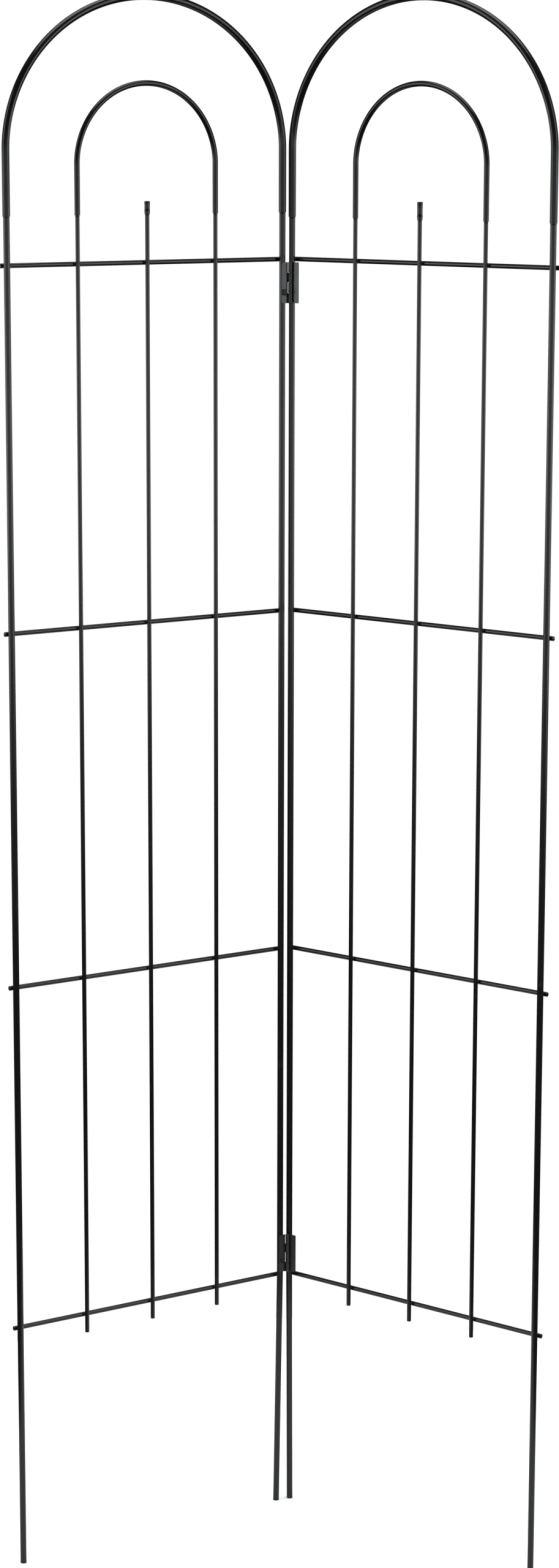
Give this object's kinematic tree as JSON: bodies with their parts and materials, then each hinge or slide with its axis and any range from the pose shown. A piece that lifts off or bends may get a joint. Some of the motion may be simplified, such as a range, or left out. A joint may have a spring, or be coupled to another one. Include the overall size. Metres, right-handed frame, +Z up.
{
  "type": "folding arched garden trellis",
  "caption": "Folding garden trellis with arched tops: hinged rod-lattice panels that stand in a V and carry climbing plants.",
  "frame": {"origin": "on the ground, under the middle of the bounding box with the panels open at 110 degrees", "axes": "+Z up along the legs, +X across the width, +Y from the open side of the V to the hinge line at the back"},
  "size_m": [0.6206, 0.2254, 1.8223],
  "materials": {
    "frame_coat": "satin black powder coat over steel rod",
    "tube_coat": "satin black powder coat over bent steel tube",
    "hinge_coat": "satin black coat over pressed steel, rubbed at the knuckles",
    "fastener_black": "blackened steel"
  },
  "bodies": {
    "left_panel": {"left_outer_leg": "frame_coat", "left_hinge_leg": "frame_coat", "left_rod_outer": "frame_coat", "left_rod_centre": "frame_coat", "left_rod_hinge": "frame_coat", "left_rod_cap": "tube_coat", "left_crossbar_1": "frame_coat", "left_crossbar_2": "frame_coat", "left_crossbar_3": "frame_coat", "left_crossbar_4": "frame_coat", "hinge_upper_left_leaf": "hinge_coat", "hinge_upper_screw": "fastener_black", "hinge_lower_left_leaf": "hinge_coat", "hinge_lower_screw": "fastener_black"},
    "right_panel": {"right_outer_leg": "frame_coat", "right_hinge_leg": "frame_coat", "right_rod_outer": "frame_coat", "right_rod_centre": "frame_coat", "right_rod_hinge": "frame_coat", "right_rod_cap": "tube_coat", "right_crossbar_1": "frame_coat", "right_crossbar_2": "frame_coat", "right_crossbar_3": "frame_coat", "right_crossbar_4": "frame_coat", "hinge_upper_right_leaf": "hinge_coat", "hinge_upper_pin": "fastener_black", "hinge_lower_right_leaf": "hinge_coat", "hinge_lower_pin": "fastener_black"},
    "left_outer_arch": {"left_outer_arch": "tube_coat"},
    "left_inner_arch": {"left_inner_arch": "tube_coat"},
    "right_outer_arch": {"right_outer_arch": "tube_coat"},
    "right_inner_arch": {"right_inner_arch": "tube_coat"}
  },
  "joints": [
    {"name": "panel_fold", "type": "hinge", "parent": "left_panel", "child": "right_panel", "pos_m": [0.00389, 0.0967, 0], "axis": [0, 0, 1], "range_deg": [-110, 28]},
    {"name": "left_outer_arch_lift", "type": "slide", "parent": "left_panel", "child": "left_outer_arch", "axis": [0, 0, 1], "range_m": [0, 0.045]},
    {"name": "left_inner_arch_lift", "type": "slide", "parent": "left_panel", "child": "left_inner_arch", "axis": [0, 0, 1], "range_m": [0, 0.033]},
    {"name": "right_outer_arch_lift", "type": "slide", "parent": "right_panel", "child": "right_outer_arch", "axis": [0, 0, 1], "range_m": [0, 0.045]},
    {"name": "right_inner_arch_lift", "type": "slide", "parent": "right_panel", "child": "right_inner_arch", "axis": [0, 0, 1], "range_m": [0, 0.033]}
  ]
}
